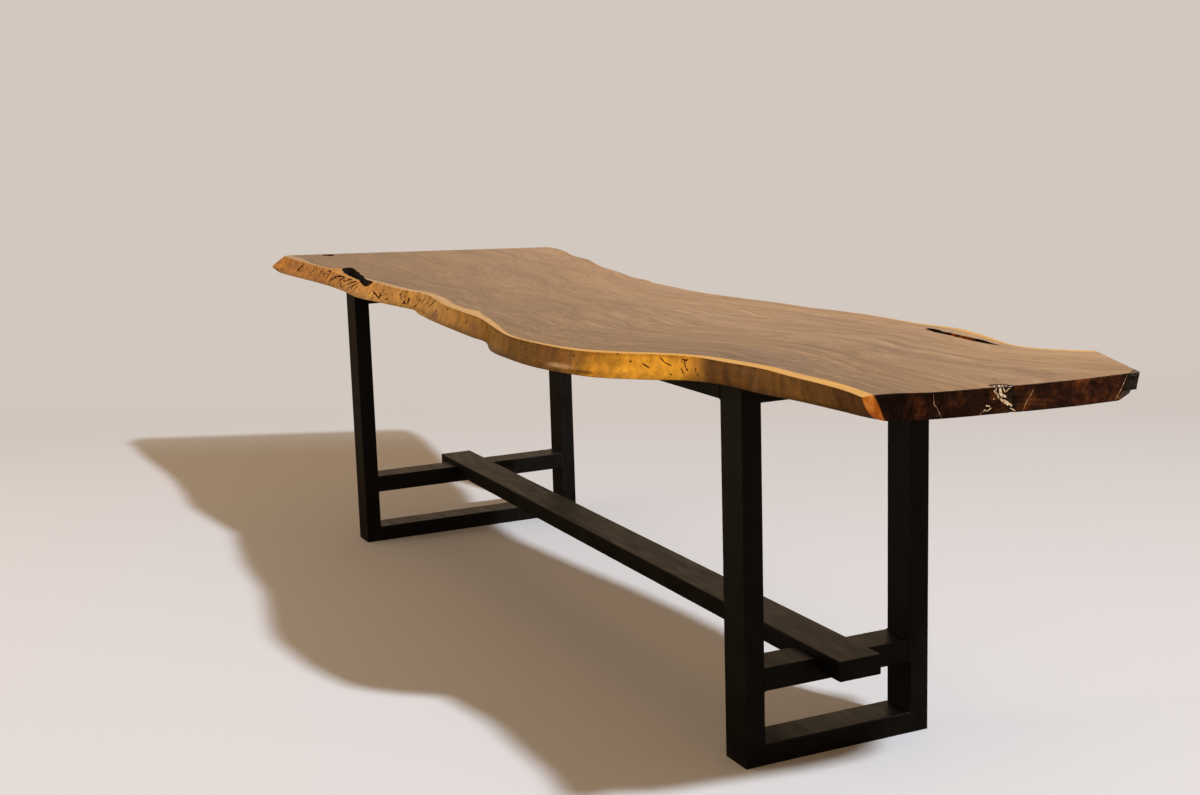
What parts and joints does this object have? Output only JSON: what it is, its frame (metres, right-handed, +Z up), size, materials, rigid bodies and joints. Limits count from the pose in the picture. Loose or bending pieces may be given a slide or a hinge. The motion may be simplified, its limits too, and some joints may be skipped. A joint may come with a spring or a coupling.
{
  "type": "bar table",
  "caption": "Bar-height table: one thick live-edge walnut slab on a black base of rectangular steel tube, with closed end frames and a low stretcher.",
  "frame": {"origin": "On the floor, under the middle of the table's box", "axes": "+Z is up, +X runs along the slab towards its narrow end, -Y towards its front edge"},
  "size_m": [4.18, 1.1799, 0.9983],
  "materials": {
    "slab": "oiled walnut, satin",
    "resin": "dark cast resin, polished",
    "steel": "black powder coat, satin",
    "fasteners": "zinc plated"
  },
  "bodies": {
    "root": {"back_long_rail": "steel", "corner_fill": "resin", "far_back_post": "steel", "far_foot_bar": "steel", "far_front_post": "steel", "far_mid_rail": "steel", "far_top_rail": "steel", "front_long_rail": "steel", "knot_fill": "resin", "near_back_post": "steel", "near_foot_bar": "steel", "near_front_post": "steel", "near_mid_rail": "steel", "near_top_rail": "steel", "slab_bolt_1": "fasteners", "slab_bolt_2": "fasteners", "slab_bolt_3": "fasteners", "slab_bolt_4": "fasteners", "slab_bolt_5": "fasteners", "slab_bolt_6": "fasteners", "slab_bolt_7": "fasteners", "slab_bolt_8": "fasteners", "slab_sleeve_1": "fasteners", "slab_sleeve_2": "fasteners", "slab_sleeve_3": "fasteners", "slab_sleeve_4": "fasteners", "slab_sleeve_5": "fasteners", "slab_sleeve_6": "fasteners", "slab_sleeve_7": "fasteners", "slab_sleeve_8": "fasteners", "slab_top": "slab", "slab_washer_1": "fasteners", "slab_washer_2": "fasteners", "slab_washer_3": "fasteners", "slab_washer_4": "fasteners", "slab_washer_5": "fasteners", "slab_washer_6": "fasteners", "slab_washer_7": "fasteners", "slab_washer_8": "fasteners", "stretcher": "steel", "stretcher_bolt_far_back": "fasteners", "stretcher_bolt_far_front": "fasteners", "stretcher_bolt_near_back": "fasteners", "stretcher_bolt_near_front": "fasteners", "stretcher_cap_far": "steel", "stretcher_cap_near": "steel", "stretcher_nut_far_back": "fasteners", "stretcher_nut_far_front": "fasteners", "stretcher_nut_near_back": "fasteners", "stretcher_nut_near_front": "fasteners"}
  },
  "joints": []
}
